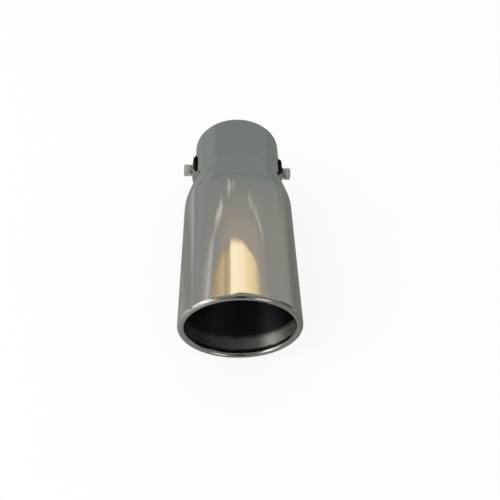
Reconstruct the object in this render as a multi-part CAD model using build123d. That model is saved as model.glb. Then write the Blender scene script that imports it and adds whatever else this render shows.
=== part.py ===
"""Round exhaust tip: a formed steel tube with a rolled lip, held on the tail pipe by two clamp screws.

The tube's axis is Y. The inlet mouth is at Y = 0 and the outlet faces -Y. The screws lie along X.
"""

import os
from math import cos, degrees, pi, radians, sin, sqrt, tan

from build123d import *

# Tube
BARREL_DIAMETER = 76.0
NECK_DIAMETER = 64.0
WALL = 1.2
TOTAL_LENGTH = 159.0
NECK_LENGTH = 34.5

# Shoulder from neck to barrel: a hollow bend, a straight slope and a crown bend
SHOULDER_SLOPE = 15.0
SHOULDER_HOLLOW_RADIUS = 26.0
SHOULDER_CROWN_RADIUS = 36.0

# Lip, rolled inwards at the outlet
LIP_ROLL_RADIUS = 2.25
LIP_ROLL_TURN = 180.0

# Clamp straps, lanced out of the neck beside two slots
STRAP_CENTRE = 22.4
STRAP_LENGTH = 20.0
STRAP_WIDTH = 14.6
STRAP_RISE = 2.3
STRAP_SLOPE = 40.0
STRAP_BEND_RADIUS = 2.0
SLOT_WIDTH = 0.8

# M5 clamp screw
THREAD_DIAMETER = 4.7
HEAD_WIDTH = 8.0
HEAD_HEIGHT = 3.5
HEAD_TOP_SHARE = 0.95
HEAD_BEVEL = 30.0
DRIVER_SLOT_WIDTH = 1.2
DRIVER_SLOT_DEPTH = 1.3
TIP_BEVEL = 0.5

# Split spring washer
WASHER_BORE = 5.1
WASHER_BAND = 1.8
WASHER_THICKNESS = 1.2
WASHER_PITCH = 1.4
WASHER_TURN = 346.0

# Square weld nut under the strap
NUT_WIDTH = 8.0
NUT_BEVEL = 0.6

# Clearances
SCREW_HOLE_CLEARANCE = 0.4
THREAD_CLEARANCE = 0.15
BORE_CLEARANCE = 0.1
SEAT_CLEARANCE = 0.02

# Angles about the screw's axis, from the outlet side
LEFT_DRIVER_SLOT_ANGLE = 50.0
RIGHT_DRIVER_SLOT_ANGLE = 15.0
WASHER_GAP_ANGLE = 50.0

BARREL_RADIUS = BARREL_DIAMETER / 2
NECK_RADIUS = NECK_DIAMETER / 2
BORE_RADIUS = NECK_RADIUS - WALL
CROWN_RADIUS = NECK_RADIUS + STRAP_RISE
STRAP_START = STRAP_CENTRE - STRAP_LENGTH / 2
WASHER_HEIGHT = WASHER_THICKNESS + WASHER_PITCH * WASHER_TURN / 360
HEAD_SEAT = CROWN_RADIUS + SEAT_CLEARANCE + WASHER_HEIGHT + SEAT_CLEARANCE
SCREW_TIP = BORE_RADIUS + BORE_CLEARANCE


# Wall lines are lists of pieces, each 2 points of a line or 3 of an arc.
# A point is (distance from the inlet mouth, radius).


def ogee(start, radius, rise, slope, hollow, crown):
    """Wall line of a smooth step outwards: hollow bend, straight slope, crown bend."""
    slope = radians(slope)
    straight = (rise - (hollow + crown) * (1 - cos(slope))) / sin(slope)

    def hollow_point(turn):
        return (start + hollow * sin(turn), radius + hollow * (1 - cos(turn)))

    foot = hollow_point(slope)
    brow = (foot[0] + straight * cos(slope), foot[1] + straight * sin(slope))
    end = brow[0] + crown * sin(slope)

    def crown_point(turn):
        return (end - crown * sin(turn), radius + rise - crown * (1 - cos(turn)))

    return [
        (hollow_point(0), hollow_point(slope / 2), foot),
        (foot, brow),
        (brow, crown_point(slope / 2), crown_point(0)),
    ]


def tube_line(depth):
    """Wall line of the whole tube at a depth below its outer skin, from inlet to the end of the roll."""
    neck = NECK_RADIUS - depth
    shoulder = ogee(
        NECK_LENGTH,
        neck,
        BARREL_RADIUS - NECK_RADIUS,
        SHOULDER_SLOPE,
        SHOULDER_HOLLOW_RADIUS + depth,
        SHOULDER_CROWN_RADIUS - depth,
    )
    roll_radius = LIP_ROLL_RADIUS - depth

    def roll_point(turn):
        turn = radians(turn)
        return (
            TOTAL_LENGTH - LIP_ROLL_RADIUS + roll_radius * sin(turn),
            BARREL_RADIUS - LIP_ROLL_RADIUS + roll_radius * cos(turn),
        )

    return [
        ((0, neck), (NECK_LENGTH, neck)),
        *shoulder,
        (shoulder[-1][-1], roll_point(0)),
        (roll_point(0), roll_point(LIP_ROLL_TURN / 2), roll_point(LIP_ROLL_TURN)),
    ]


def strap_line(depth):
    """Wall line of a strap's middle at a depth below its outer skin: up, along the crown and down."""
    up = ogee(
        STRAP_START,
        NECK_RADIUS - depth,
        STRAP_RISE,
        STRAP_SLOPE,
        STRAP_BEND_RADIUS + WALL / 2 + depth,
        STRAP_BEND_RADIUS + WALL / 2 - depth,
    )
    down = [tuple((2 * STRAP_CENTRE - a, r) for a, r in reversed(piece)) for piece in reversed(up)]
    return [*up, (up[-1][-1], down[0][0]), *down]


def edge(piece):
    """One line or arc in the sketch, where X is the radius and the outlet is towards -Y."""
    points = [(radius, -along) for along, radius in piece]
    return Line(*points) if len(points) == 2 else ThreePointArc(*points)


def sheet_section(wall_line):
    """Face of the sheet between a wall line's outer skin and its inner skin."""
    outer = wall_line(0)
    inner = wall_line(WALL)
    ends = [(outer[0][0], inner[0][0]), (outer[-1][-1], inner[-1][-1])]
    return make_face([edge(piece) for piece in [*outer, *inner, *ends]])


def sector(section, width):
    """A section turned about the tube's axis over a width on the neck, centred on +X."""
    angle = degrees(width / NECK_RADIUS)
    return revolve(section, Axis.Y, revolution_arc=angle).rotate(Axis.Y, -angle / 2)


def make_strap():
    """The raised strap of sheet on the right side of the neck."""
    return sector(sheet_section(strap_line), STRAP_WIDTH)


def make_strap_window():
    """What the strap and the slots beside it leave open in the right side of the neck."""
    middle = (NECK_RADIUS - WALL / 2, -STRAP_CENTRE)
    opening = Location(middle) * Rectangle(2 * WALL, STRAP_LENGTH)
    return sector(opening, STRAP_WIDTH + 2 * SLOT_WIDTH)


def on_screw_axis(shape):
    """Moves a piece from its own Z axis onto the right screw's axis, with its Z as the radius."""
    return Pos(0, -STRAP_CENTRE, 0) * Rot(0, 90, 0) * shape


def make_screw_hole():
    """The hole in the crown of the right strap."""
    radius = THREAD_DIAMETER / 2 + SCREW_HOLE_CLEARANCE
    depth = 2 * WALL + STRAP_RISE
    return on_screw_axis(Pos(0, 0, CROWN_RADIUS) * Cylinder(radius, depth))


def make_tip_body():
    """The formed tube with a clamp strap on each side."""
    tube = revolve(sheet_section(tube_line), Axis.Y)
    for turn in (0, 180):
        tube -= make_strap_window().rotate(Axis.Y, turn)
        tube += make_strap().rotate(Axis.Y, turn)
        tube -= make_screw_hole().rotate(Axis.Y, turn)
    return tube


def make_weld_nut():
    """The square nut, its outer edges against the strap's hollow underside."""
    underside = sqrt((CROWN_RADIUS - WALL) ** 2 - (NUT_WIDTH / 2) ** 2) - SEAT_CLEARANCE
    thickness = underside - SCREW_TIP
    square = chamfer(Rectangle(NUT_WIDTH, NUT_WIDTH).vertices(), NUT_BEVEL)
    hole = Circle(THREAD_DIAMETER / 2 + THREAD_CLEARANCE)
    return on_screw_axis(Pos(0, 0, SCREW_TIP) * extrude(square - hole, thickness))


def make_spring_washer():
    """The split ring, one open turn of a helix on the strap's crown."""
    mean_radius = (WASHER_BORE + WASHER_BAND) / 2
    path = Helix(WASHER_PITCH, WASHER_PITCH * WASHER_TURN / 360, mean_radius)
    band = Plane(path @ 0, x_dir=(1, 0, 0), z_dir=path % 0) * Rectangle(WASHER_BAND, WASHER_THICKNESS)
    ring = sweep(band, path, is_frenet=True).rotate(Axis.Z, WASHER_GAP_ANGLE)
    base = CROWN_RADIUS + SEAT_CLEARANCE + WASHER_THICKNESS / 2
    return on_screw_axis(Pos(0, 0, base) * ring)


def make_clamp_screw(slot_angle):
    """The screw: a bevelled hex head with a driver slot, and a plain shank for the thread."""
    corner = HEAD_WIDTH / 2 / cos(pi / 6)
    top = HEAD_TOP_SHARE * HEAD_WIDTH / 2
    rim = HEAD_HEIGHT - (corner - top) * tan(radians(HEAD_BEVEL))
    outline = [(0, 0), (corner, 0), (corner, rim), (top, HEAD_HEIGHT), (0, HEAD_HEIGHT)]
    turned = make_face(Polyline(*outline, close=True))
    blank = revolve(Plane.XZ * turned, Axis.Z)
    head = blank & extrude(RegularPolygon(HEAD_WIDTH / 2, 6, major_radius=False), HEAD_HEIGHT)
    slot = Rot(0, 0, slot_angle) * Box(3 * corner, DRIVER_SLOT_WIDTH, 2 * DRIVER_SLOT_DEPTH)
    head -= Pos(0, 0, HEAD_HEIGHT) * slot
    length = HEAD_SEAT - SCREW_TIP
    shank = Pos(0, 0, -length / 2) * Cylinder(THREAD_DIAMETER / 2, length)
    shank = chamfer(shank.edges().group_by(Axis.Z)[0], TIP_BEVEL)
    return on_screw_axis(Pos(0, 0, HEAD_SEAT) * (head + shank))


def to_left(shape):
    """The same piece on the left side of the neck."""
    return shape.rotate(Axis.Y, 180)


nodes = {
    "tip_body": make_tip_body(),
    "left_weld_nut": to_left(make_weld_nut()),
    "right_weld_nut": make_weld_nut(),
    "left_spring_washer": to_left(make_spring_washer()),
    "right_spring_washer": make_spring_washer(),
    "left_clamp_screw": to_left(make_clamp_screw(LEFT_DRIVER_SLOT_ANGLE)),
    "right_clamp_screw": make_clamp_screw(RIGHT_DRIVER_SLOT_ANGLE),
}

os.makedirs("parts", exist_ok=True)
for name, shape in nodes.items():
    shape.label = name
    export_step(shape, f"parts/{name}.step")
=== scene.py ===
"""Dresses the exhaust tip, a polished tube with a rolled lip and two clamp screws, in a white studio.

The tube's axis is Y, its inlet mouth is at Y = 0 and its outlet faces -Y. The tip's sizes are in
millimetres, and the studio's are in metres.
"""

import math

import bmesh
import bpy
from mathutils import Matrix, Vector


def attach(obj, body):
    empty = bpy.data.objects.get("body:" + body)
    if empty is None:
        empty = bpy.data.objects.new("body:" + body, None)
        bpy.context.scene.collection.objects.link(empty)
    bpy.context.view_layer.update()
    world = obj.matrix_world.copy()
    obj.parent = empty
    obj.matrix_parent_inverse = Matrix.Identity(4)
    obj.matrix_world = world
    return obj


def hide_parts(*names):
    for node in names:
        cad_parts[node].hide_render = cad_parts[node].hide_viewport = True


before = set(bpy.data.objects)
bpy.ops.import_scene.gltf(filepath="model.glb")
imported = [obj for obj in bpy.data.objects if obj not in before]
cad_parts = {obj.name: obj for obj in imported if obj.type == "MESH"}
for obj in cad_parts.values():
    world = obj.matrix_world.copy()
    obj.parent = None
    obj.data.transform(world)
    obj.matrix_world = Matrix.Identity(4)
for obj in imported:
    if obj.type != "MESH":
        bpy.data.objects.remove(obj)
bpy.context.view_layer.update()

MM = 0.001

# Tube
BARREL_RADIUS = 38.0
NECK_RADIUS = 32.0
WALL = 1.2
TOTAL_LENGTH = 159.0
NECK_LENGTH = 34.5
SHOULDER_SLOPE = math.radians(15.0)
SHOULDER_HOLLOW_RADIUS = 26.0
SHOULDER_CROWN_RADIUS = 36.0
LIP_ROLL_RADIUS = 2.25
LIP_ROLL_TURN = math.pi

# Clamp straps, lanced out of the neck beside two slots
STRAP_CENTRE = 22.4
STRAP_LENGTH = 20.0
STRAP_START = STRAP_CENTRE - STRAP_LENGTH / 2
STRAP_END = STRAP_CENTRE + STRAP_LENGTH / 2
STRAP_WIDTH = 14.6
STRAP_RISE = 2.3
STRAP_SLOPE = math.radians(40.0)
STRAP_BEND_RADIUS = 2.0
SLOT_WIDTH = 0.8
SLOT_END_MARGIN = 0.01
SCREW_HOLE_RADIUS = 2.75

# Eased edges, and the turns between faces that make an edge sharp
CUT_EDGE_ROUNDING = 0.18
SCREW_ROUNDING = 0.12
WASHER_ROUNDING = 0.1
NUT_ROUNDING = 0.1
CREASE_ANGLE = math.radians(50.0)
THREAD_CREASE_ANGLE = math.radians(40.0)

# Bare steel ring inside the barrel, measured back from the outlet. From its end to the outlet, in the
# crevice under the rolled lip, the inside is painted dark as shade.
BARE_RING_START = 14.5
BARE_RING_END = 6.2
BARE_RING_FADE = 2.5
LIP_SHADE_FADE = 0.5

# Painted shade that darkens the ring's left, by X, and how ragged the ring's edges are
RING_SHADE_CLEAR = 18.0
RING_SHADE_FULL = -26.0
RAGGED_SPACING = 5.0
RAGGED_SHIFT = 1.2

# Patterns in the finishes
WIPE_MARK_SPACING = 18.0
FORMING_WAVE_SPACING = 22.0
FORMING_WAVE_DEPTH = 0.05

# Torn grain and plating mottle, drawn coarser than the real ones so that they show
TORN_GRAIN_SPACING = 1.1
TORN_GRAIN_DEPTH = 0.02
MOTTLE_SPACING = 1.4
MOTTLE_DEPTH = 0.01

# M5 thread on the clamp screws, along each screw's axis from the tube's middle
THREAD_START = 31.9
THREAD_END = 36.6
THREAD_ROOT = 2.3
THREAD_CREST = 2.46
THREAD_PITCH = 0.8
THREAD_FOOT = 0.34
THREAD_STEPS = 36

# How finely the meshes are divided
MOUTH_ROWS = (0.0, 0.6, 2.0, 6.0)
STRAP_APPROACH = 1.0
NECK_END_ROWS = 3
PLAIN_COLUMNS = 100
STRAP_COLUMNS = 20
SHOULDER_STEPS = 20
ROLL_STEPS = 32
STRAP_BEND_STEPS = 6
STRAP_CROWN_ROWS = 20
BARREL_ROWS = 12
ROOM_SEGMENTS = 32
ROOM_RINGS = 16

# Kinds of face on the tube, in the order of its finishes
OUTSIDE, INSIDE, TRIMMED, LANCED = range(4)

# Studio, in metres
FLOOR_HEIGHT = -BARREL_RADIUS * MM
FLOOR_HALF = 1.5
TIP_MIDDLE = (0, -0.08, 0)
ROOM_RADIUS = 40.0
CEILING_HEIGHT = 1.5
BACK_WALL = 1.5
FRONT_CARD = -1.3
CARD_GAP = 0.0005
BACK_FLOOR_START = -0.06
BACK_FLOOR_FULL = 0.05
FLOOR_FADE_START = 0.3
FLOOR_FADE_END = 0.8
PANEL_RIM_DEPTH = 0.45
PANEL_SEAM = -0.565
STRIP_REACH = (-0.01, 0.035, 0.055, 0.13)
FRONT_FLOOR_REACH = (-1.0, -0.8, -0.12, -0.085)
FLAG_HEIGHTS = (0.0, 1.7, 2.1)
FRONT_CARD_HEIGHTS = (-0.03, 0.26, 0.4)

# Tones and glow of the studio
FLOOR_GLOW = 0.85
WALL_GLOW = 0.38
FLOOR_TONE = "#A1A09D"
FLOOR_SHADE_TONE = "#83827F"
HALF_SHADE_TONE = "#95938B"
LIT_FLOOR_TONE = "#A4A29A"
BACK_FLOOR_TONE = "#98A19D"
BACK_SHADE_TONE = "#838A85"
WALL_TONE = "#A6A6A3"
FRONT_TONE = "#7B7A76"
FLAG_TONE = "#383633"
STREAK_TONE = "#FFFCF7"
GLOW_TONE = "#B5AA9B"
PANEL_RIM_TONE = "#8A7657"

# Tones of the room: a direction, how squarely it is faced where the tone starts and is full, and the tone
ROOM_TONES = (
    ((0, 0, 1), 0.45, 0.8, "#C4B9AA"),  # warm glow towards the ceiling
    ((0, 1, 0), 0.6, 0.72, "#A3A5A2"),  # rim of the back wall
    ((0, 1, 0), 0.66, 0.76, "#8E9795"),  # back wall
    ((0, 1, 0), 0.78, 0.95, "#919A98"),  # middle of the back wall
    ((0.62, 0.76, -0.2), 0.96, 0.998, BACK_SHADE_TONE),  # shade low on the back wall's right
    ((-0.64, 0.76, 0), 0.94, 0.985, "#9CA4A4"),  # painted light on the left of the back wall
    ((-0.8, 0.6, 0), 0.98, 0.996, "#A5A5A6"),  # more painted light, further left
    ((0, 0, 1), 0.76, 0.92, PANEL_RIM_TONE),  # brown, higher than the glow
    ((0, 1, 0), 0.5, 0.3, WALL_TONE),  # plain wall where the back isn't faced
    ((0, 1, 0), 0.0, -0.35, FRONT_TONE),  # front of the room
    ((1, 0, 0), 0.86, 0.95, "#62615D"),  # dark right wall
)

# Camera, fitted to the photograph
CAMERA_PLACE = Vector((-19.47, -305.72, 271.13))
CAMERA_AHEAD = Vector((0.0787, 0.6077, -0.7902))
CAMERA_UP = Vector((-0.0242, 0.7936, 0.6079))
CAMERA_LENS = 36.51
CAMERA_NEAR_LIMIT = 10.0


def linear(hex_colour):
    """An sRGB hex colour as linear red, green, blue and alpha."""
    shades = [int(hex_colour[i : i + 2], 16) / 255 for i in (1, 3, 5)]
    return (*[s / 12.92 if s <= 0.04045 else ((s + 0.055) / 1.055) ** 2.4 for s in shades], 1.0)


def add_node(tree, kind, settings=None, inputs=None):
    """Adds a node with its settings. An input is a value, or the output socket that feeds it."""
    node = tree.nodes.new(kind)
    for name, value in (settings or {}).items():
        setattr(node, name, value)
    for name, value in (inputs or {}).items():
        if isinstance(value, bpy.types.NodeSocket):
            tree.links.new(value, node.inputs[name])
        else:
            node.inputs[name].default_value = value
    return node


def new_material(name):
    """An empty material: its node tree and its output node."""
    material = bpy.data.materials.new(name)
    material.use_nodes = True
    material.node_tree.nodes.clear()
    return material, material.node_tree, add_node(material.node_tree, "ShaderNodeOutputMaterial")


# Shape of the tube's sheet: points are (distance from the inlet mouth, radius)


def ogee(start, radius, rise, slope, hollow, crown, steps):
    """A smooth step outwards: hollow bend, straight slope, crown bend."""
    straight = (rise - (hollow + crown) * (1 - math.cos(slope))) / math.sin(slope)
    turns = [slope * i / steps for i in range(steps + 1)]
    rising = [(start + hollow * math.sin(a), radius + hollow * (1 - math.cos(a))) for a in turns]
    brow = rising[-1][0] + straight * math.cos(slope)
    end = brow + crown * math.sin(slope)
    easing = [
        (end - crown * math.sin(a), radius + rise - crown * (1 - math.cos(a)))
        for a in reversed(turns)
    ]
    return rising + easing


def evenly(first, last, count):
    """Distances from first to last, without last."""
    return [first + (last - first) * i / count for i in range(count)]


def strap_line(depth):
    """The strap's middle line at a depth below its outer skin, from its root to its other root."""
    up = ogee(
        STRAP_START,
        NECK_RADIUS - depth,
        STRAP_RISE,
        STRAP_SLOPE,
        STRAP_BEND_RADIUS + WALL / 2 + depth,
        STRAP_BEND_RADIUS + WALL / 2 - depth,
        STRAP_BEND_STEPS,
    )
    down = [(2 * STRAP_CENTRE - along, radius) for along, radius in reversed(up)]
    crown = [(along, up[-1][1]) for along in evenly(up[-1][0], down[0][0], STRAP_CROWN_ROWS)]
    return up[:-1] + crown + down


def roll_line(depth):
    """The lip's roll, from the barrel round to its free edge."""
    radius = LIP_ROLL_RADIUS - depth
    turns = [LIP_ROLL_TURN * i / ROLL_STEPS for i in range(ROLL_STEPS + 1)]
    return [
        (
            TOTAL_LENGTH - LIP_ROLL_RADIUS + radius * math.sin(turn),
            BARREL_RADIUS - LIP_ROLL_RADIUS + radius * math.cos(turn),
        )
        for turn in turns
    ]


def tube_rows(depth, on_strap):
    """Rows of the tube's mesh at a depth below its outer skin, along a strap or along the plain neck."""
    neck = NECK_RADIUS - depth
    strap = strap_line(depth)
    if not on_strap:
        strap = [(along, neck) for along, _ in strap_line(0)]
    shoulder = ogee(
        NECK_LENGTH,
        neck,
        BARREL_RADIUS - NECK_RADIUS,
        SHOULDER_SLOPE,
        SHOULDER_HOLLOW_RADIUS + depth,
        SHOULDER_CROWN_RADIUS - depth,
        SHOULDER_STEPS,
    )
    roll = roll_line(depth)
    before = [(along, neck) for along in (*MOUTH_ROWS, STRAP_START - STRAP_APPROACH)]
    after = [(along, neck) for along in evenly(STRAP_END, NECK_LENGTH, NECK_END_ROWS)][1:]
    barrel_places = evenly(shoulder[-1][0], roll[0][0], BARREL_ROWS)
    barrel = [(along, BARREL_RADIUS - depth) for along in barrel_places]
    return before + strap + after + shoulder[:-1] + barrel + roll


def tube_columns():
    """Angles of the mesh's columns about the axis, each with the sheet that starts there."""
    strap = STRAP_WIDTH / NECK_RADIUS / 2
    window = strap + SLOT_WIDTH / NECK_RADIUS
    columns = []
    for centre in (0.0, math.pi):
        columns.append((centre - window, "slot"))
        for angle in evenly(centre - strap, centre + strap, STRAP_COLUMNS):
            columns.append((angle, "strap"))
        columns.append((centre + strap, "strap_side"))
        for angle in evenly(centre + window, centre + math.pi - window, PLAIN_COLUMNS):
            columns.append((angle, "plain"))
    return columns


def make_tube_mesh():
    """The formed tube with its straps, slots and screw holes: outer skin, inner skin and cut edges."""
    columns = tube_columns()
    skins = [
        {False: tube_rows(depth, False), True: tube_rows(depth, True)}
        for depth in (0.0, WALL)
    ]
    row_count = len(skins[0][True])
    first = next(i for i, row in enumerate(skins[0][True]) if row[0] == STRAP_START)
    last = first + len(strap_line(0)) - 1
    column_count = len(columns)

    def from_screw(along, across):
        """How far a place on a strap lies from the screw's axis."""
        return math.hypot(along - STRAP_CENTRE, across)

    def is_open(i, j):
        """Whether the mesh's cell lies in a slot or in a screw hole."""
        if not first <= i < last:
            return False
        here = columns[j][1]
        if here in ("slot", "strap_side"):
            return True
        if here != "strap":
            return False
        centre = 0.0 if abs(columns[j][0]) < 1 else math.pi
        along = (skins[0][True][i][0] + skins[0][True][i + 1][0]) / 2
        angle = (columns[j][0] + columns[j + 1][0]) / 2 - centre
        return from_screw(along, skins[0][True][i][1] * math.sin(angle)) < SCREW_HOLE_RADIUS

    opened = [[is_open(i, j) for j in range(column_count)] for i in range(row_count - 1)]

    def beside_hole(i, j):
        """Whether a mesh point lies on the edge of a screw hole."""
        if not first < i < last or columns[j][1] != "strap" or columns[j - 1][1] != "strap":
            return False
        around = [opened[a][b] for a in (i - 1, i) for b in (j - 1, j)]
        return any(around) and not all(around)

    def place(skin, i, j):
        """Where a mesh point lies. One beside a screw hole is drawn onto its edge."""
        angle, carries = columns[j]
        along, radius = skins[skin][carries in ("strap", "strap_side")][i]
        x, z = radius * math.cos(angle), radius * math.sin(angle)
        if beside_hole(i, j):
            share = SCREW_HOLE_RADIUS / from_screw(along, z)
            along, z = STRAP_CENTRE + (along - STRAP_CENTRE) * share, z * share
            x = math.copysign(math.sqrt(radius**2 - z**2), x)
        return Vector((x, -along, z)) * MM

    mesh = bmesh.new()
    points = {
        (skin, i, j): mesh.verts.new(place(skin, i, j))
        for skin in (0, 1)
        for i in range(row_count)
        for j in range(column_count)
    }

    def add_face(corners, look):
        mesh.faces.new([points[c] for c in corners]).material_index = look

    def add_cut(a, b, look):
        """The sheet's cut edge between two mesh points, through its thickness."""
        add_face([(0, *a), (0, *b), (1, *b), (1, *a)], look)

    for j in range(column_count):
        k = (j + 1) % column_count
        add_cut((0, j), (0, k), TRIMMED)
        add_cut((row_count - 1, j), (row_count - 1, k), TRIMMED)
        for i in range(row_count - 1):
            if opened[i][j] != opened[i][j - 1]:
                add_cut((i, j), (i + 1, j), LANCED)
            if i and opened[i][j] != opened[i - 1][j]:
                add_cut((i, j), (i, k), LANCED)
            if not opened[i][j]:
                corners = [(i, j), (i, k), (i + 1, k), (i + 1, j)]
                add_face([(0, *c) for c in corners], OUTSIDE)
                add_face([(1, *c) for c in reversed(corners)], INSIDE)
    loose = [v for v in mesh.verts if not v.link_faces]
    bmesh.ops.delete(mesh, geom=loose, context="VERTS")
    bmesh.ops.recalc_face_normals(mesh, faces=mesh.faces)
    for face in mesh.faces:
        face.smooth = True
    eased = mesh.edges.layers.float.new("bevel_weight_edge")
    slot_ends = (-STRAP_START * MM, -STRAP_END * MM)
    for edge in mesh.edges:
        on_cut = {face.material_index in (TRIMMED, LANCED) for face in edge.link_faces}
        on_slot_end = any(abs(v.co.y - end) < SLOT_END_MARGIN * MM for v in edge.verts for end in slot_ends)
        edge[eased] = float(len(on_cut) == 2 and not on_slot_end)
    data = bpy.data.meshes.new("polished_tube")
    mesh.to_mesh(data)
    mesh.free()
    data.set_sharp_from_angle(angle=CREASE_ANGLE)
    return data


def add_edge_rounding(piece, width, limit_method="ANGLE"):
    """Eases a piece's sharp edges, as tumbling or wear does: all, or those that carry a weight."""
    bevel = piece.modifiers.new("eased_edges", "BEVEL")
    bevel.width = width * MM
    bevel.segments = 2
    bevel.limit_method = limit_method
    bevel.angle_limit = CREASE_ANGLE
    bevel.harden_normals = True


def make_tube(*looks):
    """The formed tube in place of its CAD solid, with a finish for each of its kinds of face."""
    tube = bpy.data.objects.new("polished_tube", make_tube_mesh())
    bpy.context.scene.collection.objects.link(tube)
    for material in looks:
        tube.data.materials.append(material)
    add_edge_rounding(tube, CUT_EDGE_ROUNDING, "WEIGHT")
    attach(tube, "tube")
    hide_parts("tip_body")


def make_thread(side, turn, finish):
    """A screw's thread: one ridge wound round its shank. A turn of -1 is the left screw.

    The ridge runs out over half a turn at both ends.
    """
    steps = round((THREAD_END - THREAD_START) / THREAD_PITCH * THREAD_STEPS)
    run_out = THREAD_STEPS / 2
    mesh = bmesh.new()
    rings = []
    for i in range(steps + 1):
        along = THREAD_START + THREAD_PITCH * i / THREAD_STEPS
        angle = 2 * math.pi * i / THREAD_STEPS
        grown = min(1.0, (i + 1) / run_out, (steps + 1 - i) / run_out)
        crest = THREAD_ROOT + (THREAD_CREST - THREAD_ROOT) * grown
        ring = []
        for offset, radius in ((-THREAD_FOOT, THREAD_ROOT), (0.0, crest), (THREAD_FOOT, THREAD_ROOT)):
            x = turn * (along + offset)
            y = radius * math.cos(angle) - STRAP_CENTRE
            z = turn * (radius * math.sin(angle))
            ring.append(mesh.verts.new(Vector((x, y, z)) * MM))
        rings.append(ring)
    for ring, following in zip(rings, rings[1:]):
        for k in range(len(ring)):
            mesh.faces.new((ring[k - 1], ring[k], following[k], following[k - 1]))
    mesh.faces.new(rings[0])
    mesh.faces.new(rings[-1])
    bmesh.ops.recalc_face_normals(mesh, faces=mesh.faces)
    for face in mesh.faces:
        face.smooth = True
    name = side + "_screw_thread"
    data = bpy.data.meshes.new(name)
    mesh.to_mesh(data)
    mesh.free()
    data.set_sharp_from_angle(angle=THREAD_CREASE_ANGLE)
    data.materials.append(finish)
    thread = bpy.data.objects.new(name, data)
    bpy.context.scene.collection.objects.link(thread)
    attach(thread, side + "_screw")


# Finishes


def mirror_polished_stainless():
    """Stainless sheet, formed and buffed to a mirror: clear, slightly wavy reflections, faint wipe marks."""
    material, tree, output = new_material("mirror_polished_stainless")
    place = add_node(tree, "ShaderNodeTexCoord").outputs["Object"]
    wipe = add_node(
        tree,
        "ShaderNodeTexNoise",
        inputs={"Vector": place, "Scale": 1 / (WIPE_MARK_SPACING * MM), "Detail": 4.0, "Roughness": 0.6},
    )
    gloss = add_node(
        tree,
        "ShaderNodeMapRange",
        inputs={
            "Value": wipe.outputs["Fac"],
            "From Min": 0.4,
            "From Max": 0.75,
            "To Min": 0.02,
            "To Max": 0.045,
        },
    )
    wave = add_node(
        tree,
        "ShaderNodeTexNoise",
        inputs={"Vector": place, "Scale": 1 / (FORMING_WAVE_SPACING * MM), "Detail": 1.0},
    )
    bump = add_node(
        tree,
        "ShaderNodeBump",
        inputs={"Strength": 1.0, "Distance": FORMING_WAVE_DEPTH * MM, "Height": wave.outputs["Fac"]},
    )
    shader = add_node(
        tree,
        "ShaderNodeBsdfPrincipled",
        inputs={
            "Base Color": linear("#CFCDC9"),
            "Metallic": 1.0,
            "Roughness": gloss.outputs["Result"],
            "Normal": bump.outputs["Normal"],
        },
    )
    tree.links.new(shader.outputs["BSDF"], output.inputs["Surface"])
    return material


def dull_inner_steel():
    """The tube's inside: dark dull steel deeper in, a satin ground ring painted darker on its left as shade,
    and painted shade in the crevice under the lip.
    """
    material, tree, output = new_material("dull_inner_steel")
    place = add_node(tree, "ShaderNodeTexCoord").outputs["Object"]
    axes = add_node(tree, "ShaderNodeSeparateXYZ", inputs={"Vector": place})
    ragged = add_node(
        tree,
        "ShaderNodeTexNoise",
        inputs={"Vector": place, "Scale": 1 / (RAGGED_SPACING * MM), "Detail": 2.0, "Roughness": 0.5},
    )
    shift = add_node(
        tree,
        "ShaderNodeMapRange",
        inputs={
            "Value": ragged.outputs["Fac"],
            "To Min": -RAGGED_SHIFT * MM,
            "To Max": RAGGED_SHIFT * MM,
        },
    )
    shifted = add_node(
        tree,
        "ShaderNodeMath",
        settings={"operation": "ADD"},
        inputs={0: axes.outputs["Y"], 1: shift.outputs["Result"]},
    )
    bare = 1.0
    # The ring's start fades into the dark deeper in, and its end fades into the painted shade under the
    # rolled lip
    for edge, fade in ((BARE_RING_START, -BARE_RING_FADE), (BARE_RING_END, LIP_SHADE_FADE)):
        inside_edge = add_node(
            tree,
            "ShaderNodeMapRange",
            settings={"interpolation_type": "SMOOTHSTEP"},
            inputs={
                "Value": shifted.outputs["Value"],
                "From Min": (edge - TOTAL_LENGTH - fade) * MM,
                "From Max": (edge - TOTAL_LENGTH + fade) * MM,
                "To Max": bare,
            },
        )
        bare = inside_edge.outputs["Result"]
    # Painted shade: the ring's colour is mixed darker towards its left, by X
    painted_left_shade = add_node(
        tree,
        "ShaderNodeMapRange",
        settings={"interpolation_type": "SMOOTHSTEP"},
        inputs={"Value": axes.outputs["X"], "From Min": RING_SHADE_CLEAR * MM, "From Max": RING_SHADE_FULL * MM},
    )
    steel = add_node(
        tree,
        "ShaderNodeMix",
        settings={"data_type": "RGBA"},
        inputs={"Factor": painted_left_shade.outputs["Result"], "A": linear("#F2EFEA"), "B": linear("#8A8783")},
    )
    # Outside the ring: dark steel deeper in, and painted shade in the crevice under the rolled lip
    colour = add_node(
        tree,
        "ShaderNodeMix",
        settings={"data_type": "RGBA"},
        inputs={"Factor": bare, "A": linear("#4C4F53"), "B": steel.outputs["Result"]},
    )
    gloss = add_node(
        tree,
        "ShaderNodeMapRange",
        inputs={"Value": ragged.outputs["Fac"], "To Min": 0.38, "To Max": 0.56},
    )
    around = add_node(tree, "ShaderNodeTangent", settings={"direction_type": "RADIAL", "axis": "Y"})
    shader = add_node(
        tree,
        "ShaderNodeBsdfPrincipled",
        inputs={
            "Base Color": colour.outputs["Result"],
            "Metallic": 1.0,
            "Roughness": gloss.outputs["Result"],
            "Anisotropic": 1.0,
            "Anisotropic Rotation": 0.25,
            "Tangent": around.outputs["Tangent"],
        },
    )
    tree.links.new(shader.outputs["BSDF"], output.inputs["Surface"])
    return material


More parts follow.
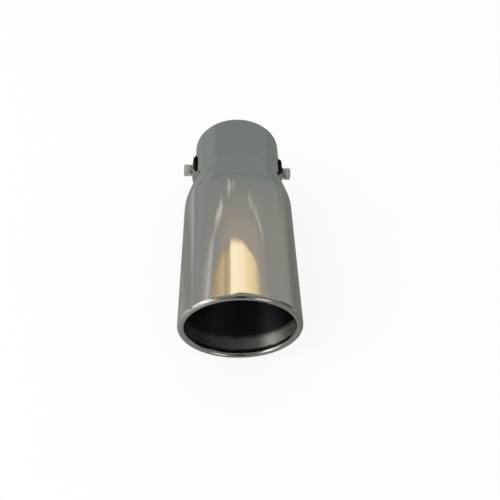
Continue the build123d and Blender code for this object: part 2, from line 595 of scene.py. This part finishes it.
def plain_steel(name, hex_colour, low_roughness):
    """Steel that was cut or welded and not polished: dull, with a torn grain that varies its gloss."""
    material, tree, output = new_material(name)
    place = add_node(tree, "ShaderNodeTexCoord").outputs["Object"]
    grain = add_node(
        tree,
        "ShaderNodeTexNoise",
        inputs={"Vector": place, "Scale": 1 / (TORN_GRAIN_SPACING * MM), "Detail": 3.0},
    )
    gloss = add_node(
        tree,
        "ShaderNodeMapRange",
        inputs={
            "Value": grain.outputs["Fac"],
            "From Min": 0.3,
            "From Max": 0.7,
            "To Min": low_roughness,
            "To Max": low_roughness + 0.25,
        },
    )
    bump = add_node(
        tree,
        "ShaderNodeBump",
        inputs={"Strength": 1.0, "Distance": TORN_GRAIN_DEPTH * MM, "Height": grain.outputs["Fac"]},
    )
    shader = add_node(
        tree,
        "ShaderNodeBsdfPrincipled",
        inputs={
            "Base Color": linear(hex_colour),
            "Metallic": 1.0,
            "Roughness": gloss.outputs["Result"],
            "Normal": bump.outputs["Normal"],
        },
    )
    tree.links.new(shader.outputs["BSDF"], output.inputs["Surface"])
    return material


def zinc_plate(name, hex_colour, dull_hex_colour, low_roughness):
    """Electroplated zinc on rolled fasteners: pale grey satin, with duller blotches where it has aged."""
    material, tree, output = new_material(name)
    place = add_node(tree, "ShaderNodeTexCoord").outputs["Object"]
    mottle = add_node(
        tree,
        "ShaderNodeTexNoise",
        inputs={"Vector": place, "Scale": 1 / (MOTTLE_SPACING * MM), "Detail": 4.0, "Roughness": 0.6},
    )
    dullness = add_node(
        tree,
        "ShaderNodeMapRange",
        inputs={"Value": mottle.outputs["Fac"], "From Min": 0.35, "From Max": 0.65},
    )
    colour = add_node(
        tree,
        "ShaderNodeMix",
        settings={"data_type": "RGBA"},
        inputs={
            "Factor": dullness.outputs["Result"],
            "A": linear(hex_colour),
            "B": linear(dull_hex_colour),
        },
    )
    gloss = add_node(
        tree,
        "ShaderNodeMapRange",
        inputs={
            "Value": mottle.outputs["Fac"],
            "From Min": 0.3,
            "From Max": 0.7,
            "To Min": low_roughness,
            "To Max": low_roughness + 0.2,
        },
    )
    bump = add_node(
        tree,
        "ShaderNodeBump",
        inputs={"Strength": 1.0, "Distance": MOTTLE_DEPTH * MM, "Height": mottle.outputs["Fac"]},
    )
    shader = add_node(
        tree,
        "ShaderNodeBsdfPrincipled",
        inputs={
            "Base Color": colour.outputs["Result"],
            "Metallic": 0.6,
            "Roughness": gloss.outputs["Result"],
            "Normal": bump.outputs["Normal"],
        },
    )
    tree.links.new(shader.outputs["BSDF"], output.inputs["Surface"])
    return material


def dress_node(node, material, rounding):
    """Gives a CAD piece its finish and eased edges."""
    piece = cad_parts[node]
    piece.data.materials.clear()
    piece.data.materials.append(material)
    add_edge_rounding(piece, rounding)


# Studio


def add_white_share(tree):
    """One for the rays that see the white background: from the camera, off metal and through glass."""
    light_path = add_node(tree, "ShaderNodeLightPath")
    share = light_path.outputs["Is Camera Ray"]
    for kind in ("Is Glossy Ray", "Is Transmission Ray"):
        share = add_node(
            tree,
            "ShaderNodeMath",
            settings={"operation": "MAXIMUM"},
            inputs={0: share, 1: light_path.outputs[kind]},
        ).outputs["Value"]
    return share


def level_sheet(name, height, material):
    """A wide square sheet that lies level at a height."""
    half = FLOOR_HALF
    corners = [(-half, -half, height), (half, -half, height), (half, half, height), (-half, half, height)]
    data = bpy.data.meshes.new(name)
    data.from_pydata(corners, [], [(0, 1, 2, 3)])
    data.materials.append(material)
    return bpy.data.objects.new(name, data)


def make_floor():
    """A white floor that keeps the tip's shadow."""
    material, tree, output = new_material("white_floor")
    seen = add_white_share(tree)
    share = add_node(
        tree,
        "ShaderNodeMath",
        settings={"operation": "MULTIPLY"},
        inputs={0: seen, 1: FLOOR_GLOW},
    )
    shade = add_node(tree, "ShaderNodeBsdfDiffuse", inputs={"Color": linear("#FFFFFF")})
    plain = add_node(tree, "ShaderNodeEmission", inputs={"Color": linear("#FFFFFF"), "Strength": 1.0})
    mixed = add_node(
        tree,
        "ShaderNodeMixShader",
        inputs={0: share.outputs["Value"], 1: shade.outputs["BSDF"], 2: plain.outputs["Emission"]},
    )
    tree.links.new(mixed.outputs["Shader"], output.inputs["Surface"])
    floor = level_sheet("floor", FLOOR_HEIGHT, material)
    bpy.context.scene.collection.objects.link(floor)
    # The metal mirrors the grey floor in its place
    floor.visible_glossy = False


def make_world():
    """A white background, and a plain pale light on everything."""
    world = bpy.data.worlds.new("studio_light")
    bpy.context.scene.world = world
    world.use_nodes = True
    world.cycles.sampling_method = "NONE"
    tree = world.node_tree
    tree.nodes.clear()
    output = add_node(tree, "ShaderNodeOutputWorld")
    seen = add_node(
        tree,
        "ShaderNodeMix",
        settings={"data_type": "RGBA"},
        inputs={"Factor": add_white_share(tree), "A": linear("#E0E0E0"), "B": linear("#FFFFFF")},
    )
    background = add_node(
        tree,
        "ShaderNodeBackground",
        inputs={"Color": seen.outputs["Result"], "Strength": 1.0},
    )
    tree.links.new(background.outputs["Background"], output.inputs["Surface"])


def show_to_metal_alone(piece):
    """Stages a piece of the studio that nothing but the metal mirrors."""
    bpy.context.scene.collection.objects.link(piece)
    piece.visible_camera = piece.visible_diffuse = piece.visible_shadow = False


def make_grey_floor():
    """The grey floor that the metal mirrors: it takes the tip's shadow and fades out at its rim."""
    material, tree, output = new_material("grey_floor")
    place = add_node(tree, "ShaderNodeTexCoord").outputs["Object"]
    axes = add_node(tree, "ShaderNodeSeparateXYZ", inputs={"Vector": place})
    behind = add_node(
        tree,
        "ShaderNodeMapRange",
        settings={"interpolation_type": "SMOOTHSTEP"},
        inputs={"Value": axes.outputs["Y"], "From Min": BACK_FLOOR_START, "From Max": BACK_FLOOR_FULL},
    )
    tone = add_node(
        tree,
        "ShaderNodeMix",
        settings={"data_type": "RGBA"},
        inputs={
            "Factor": behind.outputs["Result"],
            "A": linear(FLOOR_TONE),
            "B": linear(BACK_FLOOR_TONE),
        },
    )
    shade = add_node(tree, "ShaderNodeBsdfDiffuse", inputs={"Color": tone.outputs["Result"]})
    clear = add_node(tree, "ShaderNodeBsdfTransparent")
    distance = add_node(
        tree,
        "ShaderNodeVectorMath",
        settings={"operation": "LENGTH"},
        inputs={0: place},
    )
    faded = add_node(
        tree,
        "ShaderNodeMapRange",
        settings={"interpolation_type": "SMOOTHSTEP"},
        inputs={
            "Value": distance.outputs["Value"],
            "From Min": FLOOR_FADE_START,
            "From Max": FLOOR_FADE_END,
        },
    )
    shown = add_node(
        tree,
        "ShaderNodeMixShader",
        inputs={0: faded.outputs["Result"], 1: shade.outputs["BSDF"], 2: clear.outputs["BSDF"]},
    )
    tree.links.new(shown.outputs["Shader"], output.inputs["Surface"])
    show_to_metal_alone(level_sheet("grey_floor", FLOOR_HEIGHT + CARD_GAP / 2, material))


def make_grey_room():
    """The grey room that the metal mirrors, far off all round. Each tone fades in over the last."""
    material, tree, output = new_material("grey_room")
    material.cycles.emission_sampling = "NONE"
    place = add_node(tree, "ShaderNodeTexCoord").outputs["Object"]
    direction = add_node(
        tree,
        "ShaderNodeVectorMath",
        settings={"operation": "NORMALIZE"},
        inputs={0: place},
    )
    tone = linear(WALL_TONE)
    for towards, start, full, hex_colour in ROOM_TONES:
        facing = add_node(
            tree,
            "ShaderNodeVectorMath",
            settings={"operation": "DOT_PRODUCT"},
            inputs={0: direction.outputs["Vector"], 1: towards},
        )
        share = add_node(
            tree,
            "ShaderNodeMapRange",
            settings={"interpolation_type": "SMOOTHSTEP"},
            inputs={"Value": facing.outputs["Value"], "From Min": start, "From Max": full},
        )
        mixed = add_node(
            tree,
            "ShaderNodeMix",
            settings={"data_type": "RGBA"},
            inputs={"Factor": share.outputs["Result"], "A": tone, "B": linear(hex_colour)},
        )
        tone = mixed.outputs["Result"]
    glow = add_node(tree, "ShaderNodeEmission", inputs={"Color": tone, "Strength": 1.0})
    tree.links.new(glow.outputs["Emission"], output.inputs["Surface"])
    mesh = bmesh.new()
    bmesh.ops.create_uvsphere(mesh, u_segments=ROOM_SEGMENTS, v_segments=ROOM_RINGS, radius=ROOM_RADIUS)
    data = bpy.data.meshes.new("grey_room")
    mesh.to_mesh(data)
    mesh.free()
    data.materials.append(material)
    show_to_metal_alone(bpy.data.objects.new("grey_room", data))


def make_lamp(name, place, along, width, height, hex_colour, brightness, mirrored=True):
    """A flat lamp that faces the tip, with that brightness on its face and its width along a direction."""
    data = bpy.data.lights.new(name, "AREA")
    data.shape = "RECTANGLE"
    data.size, data.size_y = width, height
    data.color = linear(hex_colour)[:3]
    data.energy = brightness * math.pi * width * height
    lamp = bpy.data.objects.new(name, data)
    bpy.context.scene.collection.objects.link(lamp)
    lamp.visible_camera = False
    lamp.visible_glossy = mirrored
    back = (Vector(place) - Vector(TIP_MIDDLE)).normalized()
    side = (Vector(along) - back * Vector(along).dot(back)).normalized()
    lamp.matrix_world = Matrix.LocRotScale(
        Vector(place),
        Matrix((side, back.cross(side), back)).transposed().to_quaternion(),
        None,
    )


def make_card(name, *rows):
    """A lit card that only the metal mirrors. A row holds places, each with its colour and brightness."""
    material, tree, output = new_material(name)
    colour = add_node(tree, "ShaderNodeVertexColor", settings={"layer_name": "glow"})
    glow = add_node(
        tree,
        "ShaderNodeEmission",
        inputs={"Color": colour.outputs["Color"], "Strength": 1.0},
    )
    tree.links.new(glow.outputs["Emission"], output.inputs["Surface"])
    data = bpy.data.meshes.new(name)
    across = len(rows[0])
    firsts = [i * across + j for i in range(len(rows) - 1) for j in range(across - 1)]
    faces = [(k, k + 1, k + across + 1, k + across) for k in firsts]
    points = [point for row in rows for point in row]
    data.from_pydata([place for place, _, _ in points], [], faces)
    shades = data.color_attributes.new("glow", "FLOAT_COLOR", "POINT")
    for shade, (_, hex_colour, brightness) in zip(shades.data, points):
        shade.color = [brightness * part for part in linear(hex_colour)]
    data.materials.append(material)
    show_to_metal_alone(bpy.data.objects.new(name, data))


def ceiling_row(x, near, far, hex_colour, brightness, fade=0.015, rim=PANEL_RIM_TONE):
    """One row of a lit panel above the tip: a rim before it fades to the wall, and a glow lies behind."""
    return [
        ((x, near - PANEL_RIM_DEPTH, CEILING_HEIGHT), WALL_TONE, 1.0),
        ((x, near - fade, CEILING_HEIGHT), rim, 1.0),
        ((x, near, CEILING_HEIGHT), hex_colour, brightness),
        ((x, far - fade, CEILING_HEIGHT), hex_colour, brightness),
        ((x, far + fade, CEILING_HEIGHT), GLOW_TONE, 1.0),
    ]


def back_row(x, height, width, brightness, haze=0.05):
    """One row of a pale streak on the wall behind the tip: bright in its middle, hazy on both sides."""
    hazy = (brightness + WALL_GLOW) / 2
    return [
        ((x, BACK_WALL, height - width / 2 - haze), WALL_TONE, 1.0),
        ((x, BACK_WALL, height - width / 2), STREAK_TONE, hazy),
        ((x, BACK_WALL, height), STREAK_TONE, brightness),
        ((x, BACK_WALL, height + width / 2), STREAK_TONE, hazy),
        ((x, BACK_WALL, height + width / 2 + haze), WALL_TONE, 1.0),
    ]


def floor_row(x, hex_colour, *reach, near=FLOOR_TONE, far=FLOOR_TONE):
    """One row of a patch on the floor, at four places along Y. The outer two take what lies round it."""
    tones = (near, hex_colour, hex_colour, far)
    return [((x, y, FLOOR_HEIGHT + CARD_GAP), tone, 1.0) for y, tone in zip(reach, tones)]


def front_row(x, hex_colour, brightness, *heights):
    """One row of a card before the outlet, through three heights: the top one takes the room's tone."""
    shades = ((hex_colour, brightness), (hex_colour, brightness), (FRONT_TONE, 1.0))
    return [((x, FRONT_CARD, z), *shade) for z, shade in zip(heights, shades)]


def make_camera():
    """The camera, at the photograph's viewing angle."""
    data = bpy.data.cameras.new("camera")
    data.lens = CAMERA_LENS
    data.clip_start = CAMERA_NEAR_LIMIT * MM
    camera = bpy.data.objects.new("camera", data)
    bpy.context.scene.collection.objects.link(camera)
    ahead = CAMERA_AHEAD.normalized()
    right = ahead.cross(CAMERA_UP).normalized()
    turned = Matrix((right, right.cross(ahead), -ahead)).transposed()
    camera.matrix_world = Matrix.LocRotScale(CAMERA_PLACE * MM, turned.to_quaternion(), None)
    bpy.context.scene.camera = camera


make_tube(
    mirror_polished_stainless(),
    dull_inner_steel(),
    plain_steel("trimmed_tube_end", "#8C8984", 0.28),
    # The cut edges of the slots and screw holes are painted dark as shade, so that the slots read black
    plain_steel("lanced_slot_edge_painted_shade", "#3A3733", 0.4),
)
screw_zinc = zinc_plate("zinc_plated_screw", "#DEDDD9", "#C6C5C0", 0.3)
washer_zinc = zinc_plate("zinc_plated_washer", "#C2C1BC", "#A5A39D", 0.36)
nut_steel = plain_steel("welded_nut_steel", "#4A4744", 0.42)
for side, turn in (("left", -1), ("right", 1)):
    dress_node(side + "_clamp_screw", screw_zinc, SCREW_ROUNDING)
    dress_node(side + "_spring_washer", washer_zinc, WASHER_ROUNDING)
    dress_node(side + "_weld_nut", nut_steel, NUT_ROUNDING)
    make_thread(side, turn, screw_zinc)

make_floor()
make_world()
make_grey_floor()
make_grey_room()
make_card(
    "warm_panel",
    ceiling_row(PANEL_SEAM, 0.74, 1.125, "#FFEDCB", 1.36),
    ceiling_row(-0.42, 0.72, 1.092, "#FFEDD0", 1.54),
    ceiling_row(-0.27, 0.71, 1.064, "#FFEED0", 1.58),
    ceiling_row(-0.12, 0.7, 1.046, "#FFEDCA", 1.48),
    ceiling_row(0.03, 0.7, 1.04, "#FFECCB", 1.52),
    ceiling_row(0.17, 0.7, 1.035, "#FFEBC2", 1.4),
    ceiling_row(0.4, 0.72, 1.035, "#FFEABB", 1.25),
    ceiling_row(0.68, 0.77, 1.06, "#FFE8BB", 1.12),
    ceiling_row(0.8, 0.8, 1.08, "#FFE8C0", 0.9),
    ceiling_row(1.15, 0.88, 1.055, "#FFEACB", 0.45, rim=WALL_TONE),
)
make_card(
    "tan_panel",
    ceiling_row(-2.3, 1.3, 1.6, "#FFEFD8", 0.45, 0.07, rim=WALL_TONE),
    ceiling_row(-1.7, 1.0, 1.42, "#FFE8C6", 0.58, 0.06),
    ceiling_row(-1.3, 0.87, 1.3, "#FFE4BC", 0.74, 0.05),
    ceiling_row(-1.05, 0.82, 1.22, "#FFE4BA", 0.86, 0.04),
    ceiling_row(-0.82, 0.78, 1.15, "#FFE2B4", 0.63, 0.04),
    ceiling_row(-0.66, 0.75, 1.11, "#FFE4BA", 0.82, 0.04),
    ceiling_row(PANEL_SEAM, 0.74, 1.085, "#FFE4BA", 0.76, 0.04),
)
make_card(
    "left_streak",
    back_row(-0.98, 1.46, 0.04, 0.42),
    back_row(-1.1, 1.4, 0.12, 0.86),
    back_row(-1.2, 1.375, 0.1, 0.84),
    back_row(-1.28, 1.34, 0.15, 0.82),
    back_row(-1.38, 1.275, 0.1, 0.78),
    back_row(-1.47, 1.25, 0.12, 0.6),
    back_row(-1.58, 1.22, 0.08, 0.55),
    back_row(-1.7, 1.19, 0.1, 0.62, 0.12),
    back_row(-1.87, 1.14, 0.14, 0.76, 0.2),
    back_row(-2.08, 1.1, 0.14, 0.75, 0.3),
    back_row(-2.25, 1.13, 0.2, 0.8, 0.5),
    back_row(-2.4, 1.16, 0.24, 0.75, 0.55),
    back_row(-3.0, 1.3, 0.3, 0.66, 0.55),
)
make_card(
    "top_streak",
    back_row(-0.31, 1.585, 0.04, 0.42, 0.02),
    back_row(-0.355, 1.585, 0.08, 0.7, 0.03),
    back_row(-0.4, 1.585, 0.04, 0.42, 0.02),
    back_row(-0.5, 1.54, 0.04, 0.42, 0.02),
    back_row(-0.57, 1.53, 0.1, 0.75, 0.03),
    back_row(-0.63, 1.5, 0.14, 0.7, 0.03),
    back_row(-0.7, 1.5, 0.12, 0.52, 0.03),
    back_row(-0.77, 1.5, 0.04, 0.4, 0.02),
)
make_card(
    "right_streak",
    back_row(0.48, 1.64, 0.03, 0.42, 0.03),
    back_row(0.58, 1.635, 0.09, 0.62, 0.03),
    back_row(0.7, 1.62, 0.06, 0.56, 0.03),
    back_row(0.82, 1.6, 0.05, 0.5, 0.03),
    back_row(0.97, 1.56, 0.08, 0.66, 0.03),
    back_row(1.08, 1.535, 0.06, 0.6, 0.03),
    back_row(1.19, 1.515, 0.07, 0.76, 0.03),
    back_row(1.3, 1.5, 0.05, 0.66, 0.03),
    back_row(1.41, 1.482, 0.04, 0.58, 0.03),
    back_row(1.52, 1.46, 0.02, 0.42, 0.03),
)
make_card(
    "dark_flag",
    front_row(-0.3, FRONT_TONE, 1.0, *FLAG_HEIGHTS),
    front_row(-0.12, FLAG_TONE, 1.0, *FLAG_HEIGHTS),
    front_row(0.09, FLAG_TONE, 1.0, *FLAG_HEIGHTS),
    front_row(0.26, FRONT_TONE, 1.0, *FLAG_HEIGHTS),
)
make_card(
    "front_card",
    front_row(0.26, FRONT_TONE, 1.0, *FRONT_CARD_HEIGHTS),
    front_row(0.34, "#FFFFFF", 1.75, *FRONT_CARD_HEIGHTS),
    front_row(0.62, "#FFFFFF", 1.75, *FRONT_CARD_HEIGHTS),
    front_row(0.78, FRONT_TONE, 1.0, *FRONT_CARD_HEIGHTS),
)
# Painted light: a paler strip of floor left of the tip, where the left window lights it
make_card(
    "painted_light_floor_strip",
    floor_row(-0.09, FLOOR_TONE, *STRIP_REACH),
    floor_row(-0.15, "#BFC0C3", *STRIP_REACH),
    floor_row(-0.21, "#BEC0C4", *STRIP_REACH),
    floor_row(-0.3, "#AFB0B2", *STRIP_REACH),
    floor_row(-0.45, FLOOR_TONE, *STRIP_REACH),
)
# Painted light: a paler stretch of floor before the outlet, lit towards the left window
make_card(
    "painted_light_front_floor",
    floor_row(-0.06, FLOOR_TONE, *FRONT_FLOOR_REACH),
    floor_row(-0.1, "#B3B2AF", *FRONT_FLOOR_REACH),
    floor_row(-0.18, "#CCCAC6", *FRONT_FLOOR_REACH),
    floor_row(-0.3, "#DEDBD6", *FRONT_FLOOR_REACH),
    floor_row(-0.6, FLOOR_TONE, *FRONT_FLOOR_REACH),
)
make_card(
    "shaded_floor",
    floor_row(0.042, FLOOR_SHADE_TONE, -0.4, -0.3, -0.01, 0.05, far=BACK_SHADE_TONE),
    floor_row(0.13, FLOOR_SHADE_TONE, -0.4, -0.3, -0.01, 0.05, far=BACK_SHADE_TONE),
    floor_row(0.22, "#8E8D8A", -0.4, -0.3, 0.0, 0.05, far=HALF_SHADE_TONE),
    floor_row(0.36, FLOOR_TONE, -0.4, -0.3, 0.0, 0.05, far=LIT_FLOOR_TONE),
)
make_card(
    "shaded_back_floor",
    floor_row(0.042, BACK_SHADE_TONE, 0.05, 0.1, 0.3, 0.6, near=BACK_SHADE_TONE, far=BACK_FLOOR_TONE),
    floor_row(0.22, BACK_SHADE_TONE, 0.05, 0.22, 0.3, 0.6, near=HALF_SHADE_TONE, far=BACK_FLOOR_TONE),
    floor_row(0.36, LIT_FLOOR_TONE, 0.05, 0.1, 0.22, 0.4, near=LIT_FLOOR_TONE, far=BACK_SHADE_TONE),
    floor_row(0.5, LIT_FLOOR_TONE, 0.05, 0.1, 0.3, 0.5, near=LIT_FLOOR_TONE, far=BACK_SHADE_TONE),
    floor_row(0.7, BACK_FLOOR_TONE, 0.05, 0.1, 0.3, 0.5, near=BACK_FLOOR_TONE, far=BACK_FLOOR_TONE),
)
make_lamp(
    "left_window",
    place=(-1.5, -0.6, 0.5),
    along=(0, 1, 0),
    width=2.4,
    height=1.2,
    hex_colour="#FFFDF8",
    brightness=0.76,
)
make_lamp(
    "window_sky",
    place=(-1.5, -0.6, 0.62),
    along=(0, 1, 0),
    width=2.2,
    height=0.45,
    hex_colour="#FFFDF8",
    brightness=0.58,
)
make_lamp(
    "key_softbox",
    place=(-1.0, -0.5, 1.2),
    along=(1, 0, 0),
    width=0.9,
    height=0.9,
    hex_colour="#FFFFFF",
    brightness=2.0,
    mirrored=False,
)
make_camera()

scene = bpy.context.scene
scene.view_settings.view_transform = "Standard"
